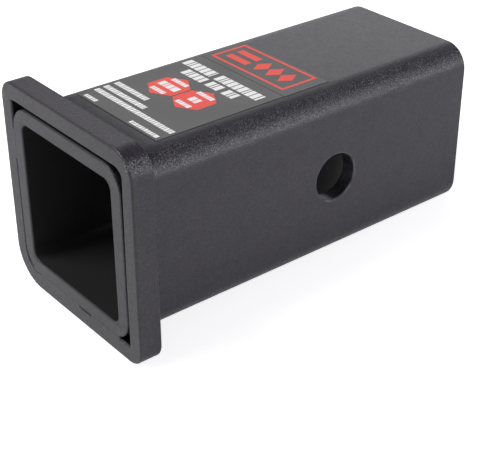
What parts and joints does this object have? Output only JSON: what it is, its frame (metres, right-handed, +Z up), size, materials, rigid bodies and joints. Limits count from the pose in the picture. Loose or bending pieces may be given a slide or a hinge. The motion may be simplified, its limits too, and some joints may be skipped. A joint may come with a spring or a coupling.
{
  "type": "hitch reducer sleeve",
  "caption": "Thick square steel sleeve with a welded bar collar at its mouth and a cross pin hole; it narrows a large hitch receiver to the next smaller shank.",
  "frame": {"origin": "centre of the pin hole, on the tube's own axis", "axes": "+X along the pin hole, +Y along the tube from the collar to the tail, +Z up on the labelled side"},
  "size_m": [0.0763, 0.1524, 0.0769],
  "materials": {
    "powder_coat": "fine textured black powder coat",
    "coated_weld": "weld bead under black powder coat",
    "label_film": "dark grey satin label film with red and white print"
  },
  "bodies": {
    "root": {"sleeve_tube": "powder_coat", "stop_collar": "powder_coat", "weld_top": "coated_weld", "weld_right": "coated_weld", "weld_bottom": "coated_weld", "weld_left": "coated_weld", "label_main": "label_film", "label_header": "label_film"}
  },
  "joints": []
}
